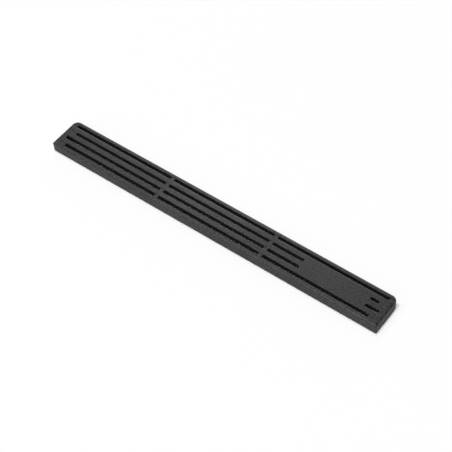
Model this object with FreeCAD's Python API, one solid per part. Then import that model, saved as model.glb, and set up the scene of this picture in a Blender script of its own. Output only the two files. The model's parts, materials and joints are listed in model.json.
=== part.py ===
"""Front dust shield of a small desktop computer: a slotted moulding that snaps on the front, and its filter.

Millimetres. X runs along the length, to the right as the face is read. Y runs from the lower edge to the
upper edge. Z points out of the face. The origin is under the middle of the shield, on the plane of its rim.
"""

import FreeCAD
import Part
import os

# Outside of the moulding
SHIELD_LENGTH = 179.0
SHIELD_HEIGHT = 17.3
SHIELD_DEPTH = 5.6
UPPER_CORNER_RADIUS = 3.0
LOWER_CORNER_RADIUS = 0.45
FACE_EDGE_RADIUS = 1.05
RIM_EDGE_CHAMFER = 0.15

# Walls, and the ledges that are left between the walls and the slots
FACE_WALL = 2.3
SIDE_WALL = 1.4
POCKET_CORNER_RADIUS = 0.8
ROW_LEDGE = 0.54
END_LEDGE = 1.67

# Slotted face
SLOT_ROWS = 4
SLOT_WIDTH = 1.5
SLOT_BAYS = 3
RIB_WIDTH = 2.05
ROW_STAGGER = 2.71
GROOVE_DEPTH = 0.3
GROOVE_LIP_RADIUS = 0.15

# Rounding of the upper edge of each bar along its slots, from the first bar down, and the gentle fall of the
# first bar towards its edge
BAR_EDGE_RADII = (0.15, 0.25, 0.45, 0.6)
FALL_WIDTH = 0.8
FALL_DROP = 0.11

# Flat field that fills the middle rows near the right end
FIELD_LENGTH = 33.6
FIELD_END_MARGIN = 9.7
FIELD_ROWS = (1, 2)

# Catches in the pocket, which hold the filter against the back of the slots
CATCH_COUNT = 4
CATCH_LENGTH = 5.0
CATCH_REACH = 0.8
CATCH_RAMP = 0.8

# Snap beads inside the rim, which hold the shield on the raised edge round the air intake
BEAD_COUNT = 3
BEAD_LENGTH = 12.0
BEAD_HEIGHT = 0.7
BEAD_REACH = 0.3
BEAD_SETBACK = 0.2

# Filter sheet
FILTER_THICKNESS = 0.6
FILTER_CLEARANCE = 0.2

# Excess of a cutting solid past the face that it opens
OVERCUT = 1.0

# Places worked out from the sizes above
FACE_Z = SHIELD_DEPTH
POCKET_ROOF_Z = FACE_Z - FACE_WALL
GROOVE_FLOOR_Z = FACE_Z - GROOVE_DEPTH
FILTER_BACK_Z = POCKET_ROOF_Z - FILTER_THICKNESS
HALF_LENGTH = SHIELD_LENGTH / 2.0
HALF_HEIGHT = SHIELD_HEIGHT / 2.0
POCKET_HALF_LENGTH = HALF_LENGTH - SIDE_WALL
POCKET_HALF_HEIGHT = HALF_HEIGHT - SIDE_WALL
LONG_ROW_END = POCKET_HALF_LENGTH - END_LEDGE
SHORT_ROW_END = LONG_ROW_END - ROW_STAGGER
FIRST_ROW_Y = POCKET_HALF_HEIGHT - ROW_LEDGE - SLOT_WIDTH / 2.0
ROW_PITCH = 2.0 * FIRST_ROW_Y / (SLOT_ROWS - 1)
FIELD_END_X = HALF_LENGTH - FIELD_END_MARGIN
FIELD_START_X = FIELD_END_X - FIELD_LENGTH


def point(x, y, z):
    """A point in millimetres."""
    return FreeCAD.Vector(x, y, z)


def row_y(row):
    """Centre line of a slot row, counted from the upper edge."""
    return FIRST_ROW_Y - row * ROW_PITCH


def box(x_low, x_high, y_low, y_high, z_low, z_high):
    """A block between two corners."""
    corner = point(x_low, y_low, z_low)
    return Part.makeBox(x_high - x_low, y_high - y_low, z_high - z_low, corner)


def rounded_slab(half_length, half_height, radius, z_low, z_high):
    """A flat block with rounded corners."""
    corners = ((1, 1, 0.0), (-1, 1, 90.0), (-1, -1, 180.0), (1, -1, 270.0))
    arcs = []
    for side_x, side_y, start in corners:
        centre = point(side_x * (half_length - radius), side_y * (half_height - radius), z_low)
        arcs.append(Part.makeCircle(radius, centre, point(0, 0, 1), start, start + 90.0))
    edges = []
    for arc, following in zip(arcs, arcs[1:] + arcs[:1]):
        edges.append(arc)
        edges.append(Part.makeLine(arc.lastVertex().Point, following.firstVertex().Point))
    return Part.Face(Part.Wire(edges)).extrude(point(0, 0, z_high - z_low))


def edges_at(shape, z):
    """Edges of a shape that lie in one level plane."""
    return [e for e in shape.Edges if abs(e.BoundBox.ZMin - z) < 1e-6 and abs(e.BoundBox.ZMax - z) < 1e-6]


def bar(section, x_middle, length):
    """A bar along X with a section given as Y, Z points."""
    corners = [point(x_middle - length / 2.0, y, z) for y, z in section]
    return Part.Face(Part.makePolygon(corners + corners[:1])).extrude(point(length, 0, 0))


def spread(count):
    """Places along the pocket at equal pitch, each in the middle of its share."""
    share = 2.0 * POCKET_HALF_LENGTH / count
    return [share * (index + 0.5) - POCKET_HALF_LENGTH for index in range(count)]


def lower_corner_trims():
    """What comes off the two lower corners to round them from rim to face."""
    radius = LOWER_CORNER_RADIUS
    y = radius - HALF_HEIGHT
    trims = []
    for side in (-1, 1):
        x = side * (HALF_LENGTH - radius)
        x_low, x_high = sorted((x, side * (HALF_LENGTH + OVERCUT)))
        corner = box(x_low, x_high, -HALF_HEIGHT - OVERCUT, y, -OVERCUT, FACE_Z)
        trims.append(corner.cut(Part.makeCylinder(radius, FACE_Z + OVERCUT, point(x, y, -OVERCUT))))
    return trims


def block():
    """The outside of the moulding, with a round along its face edge and the edge of its rim broken."""
    solid = box(-HALF_LENGTH, HALF_LENGTH, -HALF_HEIGHT, HALF_HEIGHT, 0.0, FACE_Z)
    uprights = [e for e in solid.Edges if e.BoundBox.ZLength > FACE_Z / 2.0 and e.BoundBox.YMin > 0.0]
    solid = solid.makeFillet(UPPER_CORNER_RADIUS, uprights)
    solid = solid.makeFillet(FACE_EDGE_RADIUS, edges_at(solid, FACE_Z))
    solid = solid.cut(lower_corner_trims())
    return solid.makeChamfer(RIM_EDGE_CHAMFER, edges_at(solid, 0.0))


def pocket():
    """The hollow behind the face that takes the filter."""
    radius = POCKET_CORNER_RADIUS
    return rounded_slab(POCKET_HALF_LENGTH, POCKET_HALF_HEIGHT, radius, -OVERCUT, POCKET_ROOF_Z)


def groove(row, x_low, x_high):
    """A shallow groove with rounded lips, along one row."""
    y = row_y(row)
    half = SLOT_WIDTH / 2.0
    lip = GROOVE_LIP_RADIUS
    lip_z = FACE_Z - lip
    bend = lip * (1.0 - 0.5 ** 0.5)
    top = FACE_Z + OVERCUT

    def at(side, offset, z):
        return point(x_low, y + side * (half + offset), z)

    edges = [
        Part.makeLine(at(-1, 0, GROOVE_FLOOR_Z), at(1, 0, GROOVE_FLOOR_Z)),
        Part.makeLine(at(1, 0, GROOVE_FLOOR_Z), at(1, 0, lip_z)),
        Part.Arc(at(1, 0, lip_z), at(1, bend, FACE_Z - bend), at(1, lip, FACE_Z)).toShape(),
        Part.makeLine(at(1, lip, FACE_Z), at(1, lip, top)),
        Part.makeLine(at(1, lip, top), at(-1, lip, top)),
        Part.makeLine(at(-1, lip, top), at(-1, lip, FACE_Z)),
        Part.Arc(at(-1, lip, FACE_Z), at(-1, bend, FACE_Z - bend), at(-1, 0, lip_z)).toShape(),
        Part.makeLine(at(-1, 0, lip_z), at(-1, 0, GROOVE_FLOOR_Z)),
    ]
    return Part.Face(Part.Wire(edges)).extrude(point(x_high - x_low, 0, 0))


def grooves():
    """All the grooves, each from end to end, and broken by the field where the field fills the row."""
    end = HALF_LENGTH + OVERCUT
    cuts = []
    for row in range(SLOT_ROWS):
        if row in FIELD_ROWS:
            cuts.append(groove(row, -end, FIELD_START_X))
            cuts.append(groove(row, FIELD_END_X, end))
        else:
            cuts.append(groove(row, -end, end))
    return cuts


def open_spans(row):
    """Stretches of a row that are open right through, between the ribs and clear of the field."""
    end = LONG_ROW_END if row % 2 == 0 else SHORT_ROW_END
    solid = []
    for index in range(1, SLOT_BAYS):
        rib_x = LONG_ROW_END * (2.0 * index / SLOT_BAYS - 1.0)
        solid.append((rib_x - RIB_WIDTH / 2.0, rib_x + RIB_WIDTH / 2.0))
    if row in FIELD_ROWS:
        solid.append((FIELD_START_X, FIELD_END_X))
    spans = []
    start = -end
    for low, high in sorted(solid):
        if low > start:
            spans.append((start, min(low, end)))
        start = max(start, high)
    if end > start:
        spans.append((start, end))
    return spans


def slot(row, x_low, x_high):
    """A slot through the face, which rounds the upper edge of the bar below it."""
    radius = BAR_EDGE_RADII[row]
    bend = radius * (1.0 - 0.5 ** 0.5)
    y = row_y(row) - SLOT_WIDTH / 2.0
    bottom = POCKET_ROOF_Z - OVERCUT
    top = FACE_Z + OVERCUT

    def at(offset, z):
        return point(x_low, y + offset, z)

    edges = [
        Part.makeLine(at(SLOT_WIDTH, bottom), at(0, bottom)),
        Part.makeLine(at(0, bottom), at(0, FACE_Z - radius)),
        Part.Arc(at(0, FACE_Z - radius), at(-bend, FACE_Z - bend), at(-radius, FACE_Z)).toShape(),
        Part.makeLine(at(-radius, FACE_Z), at(-radius, top)),
        Part.makeLine(at(-radius, top), at(SLOT_WIDTH, top)),
        Part.makeLine(at(SLOT_WIDTH, top), at(SLOT_WIDTH, bottom)),
    ]
    return Part.Face(Part.Wire(edges)).extrude(point(x_high - x_low, 0, 0))


def slots():
    """All the slots through the face."""
    cuts = []
    for row in range(SLOT_ROWS):
        cuts.extend(slot(row, x_low, x_high) for x_low, x_high in open_spans(row))
    return cuts


def first_bar_falls():
    """What comes off the first bar along its slots, so that it falls towards its upper edge."""
    y_high = row_y(0) - SLOT_WIDTH / 2.0
    y_low = y_high - FALL_WIDTH
    top = FACE_Z + OVERCUT
    section = [(y_low, FACE_Z), (y_high, FACE_Z - FALL_DROP), (y_high, top), (y_low, top)]
    return [bar(section, (x_low + x_high) / 2.0, x_high - x_low) for x_low, x_high in open_spans(0)]


def catches():
    """Ramped catches along both long walls of the pocket, flat towards the filter."""
    root = POCKET_HALF_HEIGHT + SIDE_WALL / 2.0
    tip = POCKET_HALF_HEIGHT - CATCH_REACH
    foot_z = FILTER_BACK_Z - CATCH_RAMP
    solids = []
    for side in (-1, 1):
        section = [
            (side * root, FILTER_BACK_Z),
            (side * tip, FILTER_BACK_Z),
            (side * POCKET_HALF_HEIGHT, foot_z),
            (side * root, foot_z),
        ]
        solids.extend(bar(section, x, CATCH_LENGTH) for x in spread(CATCH_COUNT))
    return solids


def beads():
    """Snap beads along both long walls inside the rim, with a ramp on each side of the crest."""
    root = POCKET_HALF_HEIGHT + SIDE_WALL / 2.0
    tip = POCKET_HALF_HEIGHT - BEAD_REACH
    crest_z = BEAD_SETBACK + BEAD_HEIGHT / 2.0
    top_z = BEAD_SETBACK + BEAD_HEIGHT
    solids = []
    for side in (-1, 1):
        section = [
            (side * root, BEAD_SETBACK),
            (side * POCKET_HALF_HEIGHT, BEAD_SETBACK),
            (side * tip, crest_z),
            (side * POCKET_HALF_HEIGHT, top_z),
            (side * root, top_z),
        ]
        solids.extend(bar(section, x, BEAD_LENGTH) for x in spread(BEAD_COUNT))
    return solids


def front_grille():
    """The whole moulding."""
    shell = block().cut(pocket()).cut(grooves()).cut(slots()).cut(first_bar_falls())
    return shell.fuse(catches() + beads()).removeSplitter()


def dust_filter():
    """The filter sheet, between the back of the face and the catches."""
    half_length = POCKET_HALF_LENGTH - FILTER_CLEARANCE
    half_height = POCKET_HALF_HEIGHT - FILTER_CLEARANCE
    return rounded_slab(half_length, half_height, POCKET_CORNER_RADIUS, FILTER_BACK_Z, POCKET_ROOF_Z)


def main():
    """Build each piece and write it to its own file."""
    os.makedirs("parts", exist_ok=True)
    pieces = {"front_grille": front_grille(), "dust_filter": dust_filter()}
    for name, shape in pieces.items():
        shape.exportStep("parts/" + name + ".step")
        print(name, shape.isValid(), len(shape.Solids), round(shape.Volume, 2))


main()
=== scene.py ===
"""Looks of a slim slotted dust shield for the front of a small desktop computer, face up on a white floor.

Lengths are metres unless a name ends in _mm. X runs along the shield, Y from its lower edge to its upper
edge, and Z out of its face.
"""

import json
import logging
import math
from dataclasses import dataclass
from enum import Enum
from typing import Any

import bmesh
import bpy
from mathutils import Matrix, Vector

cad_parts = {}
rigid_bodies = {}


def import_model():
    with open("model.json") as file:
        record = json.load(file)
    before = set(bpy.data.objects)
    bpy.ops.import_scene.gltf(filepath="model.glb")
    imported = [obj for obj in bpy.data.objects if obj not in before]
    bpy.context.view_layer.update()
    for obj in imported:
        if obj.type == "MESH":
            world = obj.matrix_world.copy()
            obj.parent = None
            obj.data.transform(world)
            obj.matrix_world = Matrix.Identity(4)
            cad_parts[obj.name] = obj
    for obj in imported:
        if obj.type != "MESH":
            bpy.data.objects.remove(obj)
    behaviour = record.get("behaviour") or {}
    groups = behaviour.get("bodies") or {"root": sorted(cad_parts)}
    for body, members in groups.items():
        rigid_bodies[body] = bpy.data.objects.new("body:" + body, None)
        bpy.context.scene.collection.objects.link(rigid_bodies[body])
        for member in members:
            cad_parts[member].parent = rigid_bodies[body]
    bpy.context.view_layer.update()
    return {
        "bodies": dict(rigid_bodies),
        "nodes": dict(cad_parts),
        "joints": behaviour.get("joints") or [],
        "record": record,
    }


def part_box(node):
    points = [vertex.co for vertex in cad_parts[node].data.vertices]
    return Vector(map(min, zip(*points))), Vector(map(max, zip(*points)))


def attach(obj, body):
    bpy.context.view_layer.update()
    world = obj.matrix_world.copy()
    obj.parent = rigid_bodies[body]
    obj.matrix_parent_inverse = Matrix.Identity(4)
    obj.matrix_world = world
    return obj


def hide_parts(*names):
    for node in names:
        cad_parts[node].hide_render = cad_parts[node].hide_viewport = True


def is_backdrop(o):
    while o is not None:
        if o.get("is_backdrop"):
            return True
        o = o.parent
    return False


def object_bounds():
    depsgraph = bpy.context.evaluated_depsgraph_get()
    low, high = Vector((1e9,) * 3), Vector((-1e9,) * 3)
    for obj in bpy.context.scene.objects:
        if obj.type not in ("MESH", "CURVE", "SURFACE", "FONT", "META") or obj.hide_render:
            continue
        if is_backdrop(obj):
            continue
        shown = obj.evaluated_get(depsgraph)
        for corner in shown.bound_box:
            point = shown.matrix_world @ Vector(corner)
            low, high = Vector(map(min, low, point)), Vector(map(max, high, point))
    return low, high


LOG = logging.getLogger("dust_shield")
MM = 0.001
BODY = "root"
RIGHT_ANGLE = math.radians(90.0)
UP = (0.0, 0.0, 1.0)
NO_SHIFT = (0.0, 0.0, 0.0)
# Most values of a noise texture lie between these two.
NOISE_LOW = 0.3
NOISE_HIGH = 0.7


class Run(Enum):
    """Way in which a thread of the filter mesh runs: the axis along it, then the axis across it."""

    WARP = (0, 1)
    WEFT = (1, 0)


def linear(colour: str) -> tuple[float, float, float, float]:
    """Turn an sRGB hex colour into a linear one.

    Args:
        colour: Colour such as "#2a2a2b".

    Returns:
        Linear red, green, blue and an alpha of 1.
    """
    shares = [int(colour[start:start + 2], 16) / 255.0 for start in (1, 3, 5)]
    red, green, blue = (s / 12.92 if s <= 0.04045 else ((s + 0.055) / 1.055) ** 2.4 for s in shares)
    return red, green, blue, 1.0


def direction(azimuth_deg: float, elevation_deg: float) -> Vector:
    """Give the way from the shield towards a place around it.

    Args:
        azimuth_deg: Turn about Z, where 0 is in front of the lower edge and 90 is past the right end.
        elevation_deg: Height above the floor, as an angle.

    Returns:
        Unit vector.
    """
    turn = math.radians(azimuth_deg)
    rise = math.radians(elevation_deg)
    return Vector((math.sin(turn) * math.cos(rise), -math.cos(turn) * math.cos(rise), math.sin(rise)))


def add_node(
    tree: bpy.types.NodeTree, kind: str, inputs: dict[str | int, Any], **settings: Any,
) -> bpy.types.Node:
    """Add a node to a tree, set it up and link it.

    Args:
        tree: Tree that gets the node.
        kind: Type name of the node.
        inputs: Value of each input that is set, or the output socket that is linked to it, by name or number.
        settings: Properties of the node itself.

    Returns:
        The new node.
    """
    node = tree.nodes.new(kind)
    for name, value in settings.items():
        setattr(node, name, value)
    for name, value in inputs.items():
        if isinstance(value, bpy.types.NodeSocket):
            tree.links.new(value, node.inputs[name])
        else:
            node.inputs[name].default_value = value
    return node


def empty_material(name: str) -> tuple[bpy.types.Material, bpy.types.NodeTree]:
    """Start a material with no nodes.

    Args:
        name: Name of the material.

    Returns:
        The material and its node tree.
    """
    material = bpy.data.materials.new(name)
    material.use_nodes = True
    material.node_tree.nodes.clear()
    return material, material.node_tree


def mesh_object(name: str, bm: bmesh.types.BMesh, material: bpy.types.Material) -> bpy.types.Object:
    """Turn a finished bmesh into a smoothly shaded object at the origin.

    Args:
        name: Name of the object and its mesh.
        bm: Finished bmesh, which is freed.
        material: Its one material.

    Returns:
        The new object, linked to the scene.
    """
    for face in bm.faces:
        face.smooth = True
    mesh = bpy.data.meshes.new(name)
    bm.to_mesh(mesh)
    bm.free()
    mesh.materials.append(material)
    made = bpy.data.objects.new(name, mesh)
    bpy.context.scene.collection.objects.link(made)
    return made


@dataclass(frozen=True)
class MouldedPlastic:
    """Black ABS, injection-moulded in a spark-eroded mould.

    The mould leaves a fine matt grain, so the face spreads a soft, wide gleam instead of a mirror image, with
    slightly uneven gloss where the melt cooled faster. Sharp edges carry a painted highlight: a paler colour
    that stands in for the light which their slight rounding catches.
    """

    name: str = "abs_black_moulded_matt_grain"
    deep: str = "#1a1a1b"
    pale: str = "#212122"
    # Colour of the painted highlight on sharp edges, which stands in for the light that they catch.
    edge_highlight: str = "#2b2b2c"
    ior: float = 1.54
    # The grain shades its own gleam in its hollows, so most of it is under the 0.5 of a smooth surface.
    gleam_low: float = 0.25
    gleam_high: float = 0.54
    roughness_low: float = 0.33
    roughness_high: float = 0.43
    wall_dulling: float = 0.18
    # Upward lean of the surface where the dulling of the walls starts, and where it is full.
    wall_start: float = 0.6
    wall_full: float = 0.1
    # Real grain is about 0.1 mm, too fine to show, so it is drawn coarser.
    grain_mm: float = 0.8
    grain_detail: float = 2.0
    grain_harshness: float = 0.6
    grain_height_mm: float = 0.03
    # Place of pale on the way from deep to the painted edge highlight, and how far the grain and the painted
    # highlight of an edge go on it at most.
    pale_tone: float = 0.5
    grain_tone: float = 0.5
    highlight_tone: float = 0.35
    cloud_mm: float = 16.0
    cloud_detail: float = 3.0
    edge_mm: float = 0.16
    edge_samples: int = 8
    # Agreement of the softened normal with the true one at which an edge gets the full painted highlight.
    highlight_full: float = 0.85

    def material(self) -> bpy.types.Material:
        """Build the material.

        Returns:
            The finished material.
        """
        material, tree = empty_material(self.name)
        place = add_node(tree, "ShaderNodeTexCoord", {}).outputs["Object"]
        grain = add_node(tree, "ShaderNodeTexNoise", {
            "Vector": place, "Scale": 1.0 / (self.grain_mm * MM),
            "Detail": self.grain_detail, "Roughness": self.grain_harshness,
        })
        cloud = add_node(tree, "ShaderNodeTexNoise", {
            "Vector": place, "Scale": 1.0 / (self.cloud_mm * MM), "Detail": self.cloud_detail,
        })

        # Sharp edges are softened, and where the softened normal leaves the true one the edge gets a painted
        # highlight.
        soft = add_node(tree, "ShaderNodeBevel", {"Radius": self.edge_mm * MM}, samples=self.edge_samples)
        true = add_node(tree, "ShaderNodeNewGeometry", {})
        level = add_node(tree, "ShaderNodeVectorMath", {
            0: soft.outputs["Normal"], 1: true.outputs["Normal"],
        }, operation="DOT_PRODUCT")
        edge = add_node(tree, "ShaderNodeMapRange", {
            "Value": level.outputs["Value"], "From Min": 1.0, "From Max": self.highlight_full,
            "To Min": 0.0, "To Max": self.highlight_tone,
        })
        mottle = add_node(tree, "ShaderNodeMapRange", {
            "Value": grain.outputs["Fac"], "From Min": NOISE_LOW, "From Max": NOISE_HIGH,
            "To Min": 0.0, "To Max": self.grain_tone,
        })
        tone = add_node(tree, "ShaderNodeMath", {
            0: edge.outputs["Result"], 1: mottle.outputs["Result"],
        }, operation="ADD", use_clamp=True)
        # The ramp runs from deep through the pale of the grain to the painted edge highlight.
        colour = add_node(tree, "ShaderNodeValToRGB", {"Fac": tone.outputs["Value"]})
        colour.color_ramp.elements[0].color = linear(self.deep)
        colour.color_ramp.elements[1].color = linear(self.edge_highlight)
        colour.color_ramp.elements.new(self.pale_tone).color = linear(self.pale)

        # The walls were dragged along the mould as the part came out, so they are duller than the face.
        gloss = add_node(tree, "ShaderNodeMapRange", {
            "Value": cloud.outputs["Fac"], "From Min": NOISE_LOW, "From Max": NOISE_HIGH,
            "To Min": self.roughness_low, "To Max": self.roughness_high,
        })
        upright = add_node(tree, "ShaderNodeSeparateXYZ", {"Vector": true.outputs["Normal"]})
        drag = add_node(tree, "ShaderNodeMapRange", {
            "Value": upright.outputs["Z"], "From Min": self.wall_start, "From Max": self.wall_full,
            "To Min": 0.0, "To Max": self.wall_dulling,
        })
        dulled = add_node(tree, "ShaderNodeMath", {
            0: gloss.outputs["Result"], 1: drag.outputs["Result"],
        }, operation="ADD", use_clamp=True)
        gleam = add_node(tree, "ShaderNodeMapRange", {
            "Value": grain.outputs["Fac"], "From Min": NOISE_LOW, "From Max": NOISE_HIGH,
            "To Min": self.gleam_low, "To Max": self.gleam_high,
        })
        relief = add_node(tree, "ShaderNodeBump", {
            "Strength": 1.0, "Distance": self.grain_height_mm * MM,
            "Height": grain.outputs["Fac"], "Normal": soft.outputs["Normal"],
        })
        shader = add_node(tree, "ShaderNodeBsdfPrincipled", {
            "Base Color": colour.outputs["Color"], "Roughness": dulled.outputs["Value"], "IOR": self.ior,
            "Specular IOR Level": gleam.outputs["Result"], "Normal": relief.outputs["Normal"],
        })
        add_node(tree, "ShaderNodeOutputMaterial", {"Surface": shader.outputs["BSDF"]})
        return material


@dataclass(frozen=True)
class NylonThread:
    """Black nylon monofilament, melt-spun and woven.

    Drawn thread is smooth, but fine dust dulls it and makes it greyer in patches, so each crossing carries
    only a small, soft glint.
    """

    name: str = "nylon_black_woven_monofilament"
    clean: str = "#1e1e1f"
    dusty: str = "#343433"
    ior: float = 1.53
    roughness_low: float = 0.48
    roughness_high: float = 0.70
    dust_mm: float = 5.0
    dust_detail: float = 5.0
    dust_harshness: float = 0.65
    # Values of the dust pattern at which the thread is still clean, and fully dusty.
    dust_start: float = 0.35
    dust_full: float = 0.75

    def material(self) -> bpy.types.Material:
        """Build the material.

        Returns:
            The finished material.
        """
        material, tree = empty_material(self.name)
        place = add_node(tree, "ShaderNodeTexCoord", {}).outputs["Object"]
        dust = add_node(tree, "ShaderNodeTexNoise", {
            "Vector": place, "Scale": 1.0 / (self.dust_mm * MM),
            "Detail": self.dust_detail, "Roughness": self.dust_harshness,
        })
        colour = add_node(tree, "ShaderNodeValToRGB", {"Fac": dust.outputs["Fac"]})
        colour.color_ramp.elements[0].position = self.dust_start
        colour.color_ramp.elements[0].color = linear(self.clean)
        colour.color_ramp.elements[1].position = self.dust_full
        colour.color_ramp.elements[1].color = linear(self.dusty)
        gloss = add_node(tree, "ShaderNodeMapRange", {
            "Value": dust.outputs["Fac"], "From Min": self.dust_start, "From Max": self.dust_full,
            "To Min": self.roughness_low, "To Max": self.roughness_high,
        })
        shader = add_node(tree, "ShaderNodeBsdfPrincipled", {
            "Base Color": colour.outputs["Color"], "Roughness": gloss.outputs["Result"], "IOR": self.ior,
        })
        add_node(tree, "ShaderNodeOutputMaterial", {"Surface": shader.outputs["BSDF"]})
        return material


@dataclass(frozen=True)
class FusedNylon:
    """Black nylon that a hot blade has cut and melted into a bead.

    The melt sets glossy and a little lumpy, so the bead shows broken glints along its length.
    """

    name: str = "nylon_black_hot_cut_edge"
    base: str = "#161617"
    lump: str = "#232324"
    ior: float = 1.53
    roughness_low: float = 0.22
    roughness_high: float = 0.40
    lump_mm: float = 0.9
    lump_detail: float = 3.0
    lump_height_mm: float = 0.05

    def material(self) -> bpy.types.Material:
        """Build the material.

        Returns:
            The finished material.
        """
        material, tree = empty_material(self.name)
        place = add_node(tree, "ShaderNodeTexCoord", {}).outputs["Object"]
        lumps = add_node(tree, "ShaderNodeTexNoise", {
            "Vector": place, "Scale": 1.0 / (self.lump_mm * MM), "Detail": self.lump_detail,
        })
        colour = add_node(tree, "ShaderNodeValToRGB", {"Fac": lumps.outputs["Fac"]})
        colour.color_ramp.elements[0].color = linear(self.base)
        colour.color_ramp.elements[1].color = linear(self.lump)
        gloss = add_node(tree, "ShaderNodeMapRange", {
            "Value": lumps.outputs["Fac"], "To Min": self.roughness_low, "To Max": self.roughness_high,
        })
        relief = add_node(tree, "ShaderNodeBump", {
            "Strength": 1.0, "Distance": self.lump_height_mm * MM, "Height": lumps.outputs["Fac"],
        })
        shader = add_node(tree, "ShaderNodeBsdfPrincipled", {
            "Base Color": colour.outputs["Color"], "Roughness": gloss.outputs["Result"],
            "IOR": self.ior, "Normal": relief.outputs["Normal"],
        })
        add_node(tree, "ShaderNodeOutputMaterial", {"Surface": shader.outputs["BSDF"]})
        return material


@dataclass(frozen=True)
class StudioBoard:
    """White painted board, rolled matt.

    Matt paint spreads all light, so the floor shows plain white and only the shade close to the shield.
    """

    name: str = "board_white_matt_paint"
    paint: str = "#fbfbfb"
    roughness: float = 0.9
    gleam: float = 0.0
    # Shares of plain white in what the camera and the gleams see. They leave the shade faint, and they
    # light nothing.
    camera_lift: float = 0.85
    gleam_lift: float = 0.25
    # Way from the shield's outline to the full share.
    fade_mm: float = 1.0

    def material(self, half_x: float, half_y: float) -> bpy.types.Material:
        """Build the material.

        Args:
            half_x: Half the length of the shield that lies on the board.
            half_y: Half its width.

        Returns:
            The finished material.
        """
        material, tree = empty_material(self.name)
        board = add_node(tree, "ShaderNodeBsdfPrincipled", {
            "Base Color": linear(self.paint), "Roughness": self.roughness, "Specular IOR Level": self.gleam,
        })
        white = add_node(tree, "ShaderNodeEmission", {"Strength": 1.0})

        # How far a point lies outside the shield, so that the dark under its slots stays dark.
        place = add_node(tree, "ShaderNodeTexCoord", {}).outputs["Object"]
        mirrored = add_node(tree, "ShaderNodeVectorMath", {0: place}, operation="ABSOLUTE")
        outside = add_node(tree, "ShaderNodeVectorMath", {
            0: mirrored.outputs["Vector"], 1: (half_x, half_y, 0.0),
        }, operation="SUBTRACT")
        parts = add_node(tree, "ShaderNodeSeparateXYZ", {"Vector": outside.outputs["Vector"]})
        reach = add_node(tree, "ShaderNodeMath", {
            0: parts.outputs["X"], 1: parts.outputs["Y"],
        }, operation="MAXIMUM")
        rise = add_node(tree, "ShaderNodeMapRange", {
            "Value": reach.outputs["Value"], "From Min": 0.0, "From Max": self.fade_mm * MM,
        })

        path = add_node(tree, "ShaderNodeLightPath", {})
        lifts = (
            ("Is Camera Ray", self.camera_lift),
            ("Is Glossy Ray", self.gleam_lift),
            ("Is Transmission Ray", self.gleam_lift),
        )
        lift: Any = 0.0
        for ray, most in lifts:
            seen = add_node(tree, "ShaderNodeMath", {0: path.outputs[ray], 1: most}, operation="MULTIPLY")
            higher = add_node(tree, "ShaderNodeMath", {
                0: lift, 1: seen.outputs["Value"],
            }, operation="MAXIMUM")
            lift = higher.outputs["Value"]
        share = add_node(tree, "ShaderNodeMath", {0: lift, 1: rise.outputs["Result"]}, operation="MULTIPLY")
        shader = add_node(tree, "ShaderNodeMixShader", {
            "Fac": share.outputs["Value"], 1: board.outputs["BSDF"], 2: white.outputs["Emission"],
        })
        add_node(tree, "ShaderNodeOutputMaterial", {"Surface": shader.outputs["Shader"]})
        return material


@dataclass
class FrontGrille:
    """The slotted moulding, which keeps the shape of its CAD node."""

    node: str = "front_grille"
    finish: MouldedPlastic = MouldedPlastic()

    def dress(self, frame: dict[str, Any]) -> None:
        """Give the moulding its finish.

        Args:
            frame: The loaded frame.
        """
        moulding = frame["nodes"][self.node]
        material = self.finish.material()
        for place in moulding.material_slots:
            place.material = material
        LOG.info("%s: %d faces in %s", moulding.name, len(moulding.data.polygons), material.name)


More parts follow.
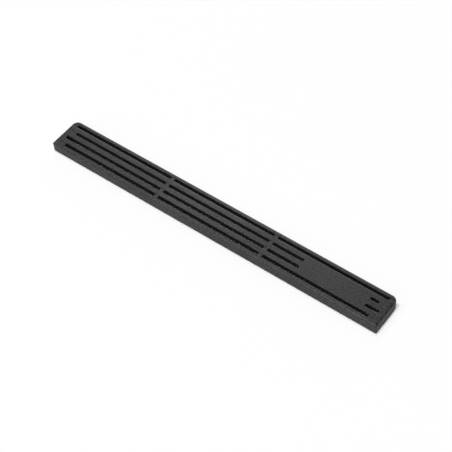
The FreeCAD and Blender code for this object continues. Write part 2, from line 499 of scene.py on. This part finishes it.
@dataclass
class DustFilter:
    """The filter sheet behind the slots: a woven mesh with a fused edge, in the space of its CAD node."""

    node: str = "dust_filter"
    carrier: str = "front_grille"
    slot: str = "filter"
    spacing_mm: float = 0.9
    thread_mm: float = 0.28
    thread_sides: int = 6
    bead_width_mm: float = 0.4
    bead_sides: int = 8
    corner_mm: float = 0.8
    corner_steps: int = 5
    merge_mm: float = 0.001
    thread_finish: NylonThread = NylonThread()
    bead_finish: FusedNylon = FusedNylon()

    def build(self) -> None:
        """Build the mesh and its edge, and put them in the place of the plain sheet."""
        low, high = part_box(self.node)
        mesh = self._mesh(low, high)
        bead = self._bead(low, high)
        for piece in (mesh, bead):
            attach(piece, BODY)
            LOG.info("%s: %d faces", piece.name, len(piece.data.polygons))
        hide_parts(self.node)

    def _mesh(self, low: Vector, high: Vector) -> bpy.types.Object:
        """Weave the mesh.

        Args:
            low: Lowest corner of the sheet.
            high: Highest corner of the sheet.

        Returns:
            The woven mesh.
        """
        bm = bmesh.new()
        for run in Run:
            threads = self._threads(run, high - low)
            made = bpy.data.meshes.new(run.name)
            threads.to_mesh(made)
            threads.free()
            bm.from_mesh(made)
            bpy.data.meshes.remove(made)
        bmesh.ops.translate(bm, vec=(low + high) / 2.0, verts=bm.verts[:])
        return mesh_object("filter_mesh", bm, self.thread_finish.material())

    def _threads(self, run: Run, size: Vector) -> bmesh.types.BMesh:
        """Make all the threads that run one way, centred on the origin.

        A ring is copied across the sheet, all the rings are drawn out along the threads in one go, and each
        thread then goes over and under the ones that it crosses.

        Args:
            run: Way in which the threads run.
            size: Length, width and thickness of the sheet.

        Returns:
            The threads, closed at their ends.
        """
        along, across = run.value
        spacing = self.spacing_mm * MM
        radius = self.thread_mm * MM / 2.0
        bead = self.bead_width_mm * MM
        threads = int((size[across] - bead) / spacing)
        crossings = int((size[along] - bead) / spacing)
        first = Vector()
        first[along] = -spacing * (crossings + 1) / 2.0
        first[across] = -spacing * (threads - 1) / 2.0
        step_along = Vector()
        step_along[along] = spacing
        step_across = Vector()
        step_across[across] = spacing

        bm = bmesh.new()
        on_edge = Matrix.Rotation(RIGHT_ANGLE, 4, "Y" if run is Run.WARP else "X")
        bmesh.ops.create_circle(
            bm, cap_ends=True, segments=self.thread_sides, radius=radius,
            matrix=Matrix.Translation(first) @ on_edge,
        )
        bmesh.ops.spin(
            bm, geom=bm.verts[:] + bm.edges[:] + bm.faces[:], cent=first, axis=UP,
            dvec=step_across, angle=0.0, steps=threads - 1, use_duplicate=True,
        )
        bmesh.ops.spin(
            bm, geom=bm.verts[:] + bm.edges[:] + bm.faces[:], cent=first, axis=UP,
            dvec=step_along, angle=0.0, steps=crossings + 1, use_duplicate=False,
        )
        over = 1.0 if run is Run.WARP else -1.0
        for vert in bm.verts:
            ring = round((vert.co[along] - first[along]) / spacing)
            thread = round((vert.co[across] - first[across]) / spacing)
            if 0 < ring <= crossings:
                vert.co.z += over * radius * (-1.0) ** (ring + thread)
            else:
                vert.co[along] = math.copysign((size[along] - bead) / 2.0, vert.co[along])
        bmesh.ops.recalc_face_normals(bm, faces=bm.faces[:])
        return bm

    def _bead(self, low: Vector, high: Vector) -> bpy.types.Object:
        """Run the fused bead round the edge of the mesh.

        An oval ring is drawn along each side of the sheet and spun round the corner at its end.

        Args:
            low: Lowest corner of the sheet.
            high: Highest corner of the sheet.

        Returns:
            The bead.
        """
        size = high - low
        half_width = self.bead_width_mm * MM / 2.0
        half_x = size.x / 2.0 - self.corner_mm * MM
        half_y = size.y / 2.0 - self.corner_mm * MM
        start = Vector((-half_x, half_width - size.y / 2.0, 0.0))
        oval = Matrix.Diagonal((1.0, half_width, size.z / 2.0, 1.0))
        on_edge = Matrix.Rotation(RIGHT_ANGLE, 4, "Y")

        bm = bmesh.new()
        bmesh.ops.create_circle(
            bm, cap_ends=False, segments=self.bead_sides, radius=1.0,
            matrix=Matrix.Translation(start) @ oval @ on_edge,
        )
        ring = bm.verts[:] + bm.edges[:]
        sides = (
            (Vector((half_x, -half_y, 0.0)), Vector((2.0 * half_x, 0.0, 0.0))),
            (Vector((half_x, half_y, 0.0)), Vector((0.0, 2.0 * half_y, 0.0))),
            (Vector((-half_x, half_y, 0.0)), Vector((-2.0 * half_x, 0.0, 0.0))),
            (Vector((-half_x, -half_y, 0.0)), Vector((0.0, -2.0 * half_y, 0.0))),
        )
        for corner, run in sides:
            ring = bmesh.ops.spin(
                bm, geom=ring, cent=corner, axis=UP, dvec=run, angle=0.0, steps=1,
            )["geom_last"]
            ring = bmesh.ops.spin(
                bm, geom=ring, cent=corner, axis=UP, dvec=NO_SHIFT, angle=RIGHT_ANGLE,
                steps=self.corner_steps,
            )["geom_last"]
        bmesh.ops.remove_doubles(bm, verts=bm.verts[:], dist=self.merge_mm * MM)
        bmesh.ops.recalc_face_normals(bm, faces=bm.faces[:])
        bmesh.ops.translate(bm, vec=(low + high) / 2.0, verts=bm.verts[:])
        LOG.info("filter_edge: %d open edges", sum(edge.is_boundary for edge in bm.edges))
        return mesh_object("filter_edge", bm, self.bead_finish.material())


@dataclass(frozen=True)
class SoftLamp:
    """A square soft box that faces the shield."""

    name: str
    azimuth_deg: float
    elevation_deg: float
    size: float
    watts: float
    distance: float = 2.0

    def build(self, aim: Vector) -> None:
        """Hang the lamp.

        Args:
            aim: Point that the lamp faces.
        """
        data = bpy.data.lights.new(self.name, "AREA")
        data.shape = "SQUARE"
        data.size = self.size
        data.energy = self.watts
        lamp = bpy.data.objects.new(self.name, data)
        away = direction(self.azimuth_deg, self.elevation_deg)
        lamp.location = aim + away * self.distance
        lamp.rotation_euler = away.to_track_quat("Z", "Y").to_euler()
        bpy.context.scene.collection.objects.link(lamp)
        LOG.info("%s: %.2f W", self.name, self.watts)


@dataclass
class Studio:
    """White floor that sweeps up all round, dim room and soft lamps."""

    floor_radius: float = 3.0
    floor_drop: float = 0.01 * MM
    floor_sides: int = 96
    sweep_radius: float = 1.2
    sweep_steps: int = 16
    merge: float = MM
    floor_finish: StudioBoard = StudioBoard()
    room: float = 0.03
    lamps: tuple[SoftLamp, ...] = (
        SoftLamp("key_lamp", azimuth_deg=215.0, elevation_deg=38.0, size=0.7, watts=5.8),
        SoftLamp("high_lamp", azimuth_deg=225.0, elevation_deg=55.0, size=0.7, watts=2.9),
        SoftLamp("back_lamp", azimuth_deg=190.0, elevation_deg=14.0, size=0.9, watts=11.0),
        SoftLamp("right_lamp", azimuth_deg=120.0, elevation_deg=20.0, size=1.3, watts=3.0),
        SoftLamp("front_left_lamp", azimuth_deg=305.0, elevation_deg=60.0, size=1.1, watts=13.5),
        SoftLamp("front_lamp", azimuth_deg=342.0, elevation_deg=21.0, size=0.6, watts=9.0),
        SoftLamp("front_right_lamp", azimuth_deg=30.0, elevation_deg=50.0, size=1.3, watts=16.0),
        SoftLamp("top_lamp", azimuth_deg=30.0, elevation_deg=82.0, size=1.2, watts=6.0),
    )

    def build(self) -> None:
        """Lay the floor, dim the room and hang the lamps."""
        self._floor()
        self._room()
        for lamp in self.lamps:
            lamp.build(Vector())

    def _floor(self) -> None:
        """Lay a round floor just under the rim of the shield, which sweeps up into a low wall all round."""
        bm = bmesh.new()
        middle = bm.verts.new((0.0, 0.0, -self.floor_drop))
        rim = bm.verts.new((self.floor_radius, 0.0, -self.floor_drop))
        bm.edges.new((middle, rim))
        bmesh.ops.spin(
            bm, geom=[rim], cent=(self.floor_radius, 0.0, self.sweep_radius - self.floor_drop),
            axis=(0.0, -1.0, 0.0), dvec=NO_SHIFT, angle=RIGHT_ANGLE, steps=self.sweep_steps,
        )
        bmesh.ops.spin(
            bm, geom=bm.verts[:] + bm.edges[:], cent=(0.0, 0.0, 0.0), axis=UP, dvec=NO_SHIFT,
            angle=math.tau, steps=self.floor_sides, use_merge=True,
        )
        bmesh.ops.remove_doubles(bm, verts=bm.verts[:], dist=self.merge)
        bmesh.ops.recalc_face_normals(bm, faces=bm.faces[:])
        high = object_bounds()[1]
        floor = mesh_object("floor", bm, self.floor_finish.material(high[0], high[1]))
        floor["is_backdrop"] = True
        LOG.info("floor: %.1f m across", 2.0 * self.floor_radius)

    def _room(self) -> None:
        """Make the room dim, so that the soft lamps do the work."""
        world = bpy.data.worlds.new("dim_room")
        world.use_nodes = True
        tree = world.node_tree
        tree.nodes.clear()
        glow = add_node(tree, "ShaderNodeBackground", {
            "Color": (1.0, 1.0, 1.0, 1.0), "Strength": self.room,
        })
        add_node(tree, "ShaderNodeOutputWorld", {"Surface": glow.outputs["Background"]})
        bpy.context.scene.world = world


@dataclass
class PhotoCamera:
    """Camera at the viewing angle of the photograph."""

    aim_mm: tuple[float, float, float] = (6.855, -1.284, 4.3)
    distance_mm: float = 527.42
    azimuth_deg: float = 41.272
    elevation_deg: float = 52.115
    roll_deg: float = -5.347
    lens_mm: float = 95.65
    sensor_mm: float = 36.0
    clip_near: float = 0.01
    clip_far: float = 20.0

    def build(self) -> None:
        """Set up the camera and make it the scene's own."""
        data = bpy.data.cameras.new("photo_camera")
        data.lens = self.lens_mm
        data.sensor_width = self.sensor_mm
        data.clip_start = self.clip_near
        data.clip_end = self.clip_far
        camera = bpy.data.objects.new("photo_camera", data)
        away = direction(self.azimuth_deg, self.elevation_deg)
        facing = away.to_track_quat("Z", "Y").to_matrix()
        roll = Matrix.Rotation(math.radians(self.roll_deg), 3, "Z")
        place = Vector(self.aim_mm) * MM + away * self.distance_mm * MM
        camera.matrix_world = Matrix.Translation(place) @ (facing @ roll).to_4x4()
        bpy.context.scene.collection.objects.link(camera)
        bpy.context.scene.camera = camera
        LOG.info("photo_camera: %s", [round(value, 4) for value in place])


def main() -> None:
    """Build and dress the shield, then the studio round it."""
    logging.basicConfig(level=logging.INFO, format="%(name)s: %(message)s")
    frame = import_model()
    FrontGrille().dress(frame)
    DustFilter().build()
    Studio().build()
    PhotoCamera().build()
    bpy.context.scene.view_settings.view_transform = "Standard"


if __name__ == "__main__":
    main()
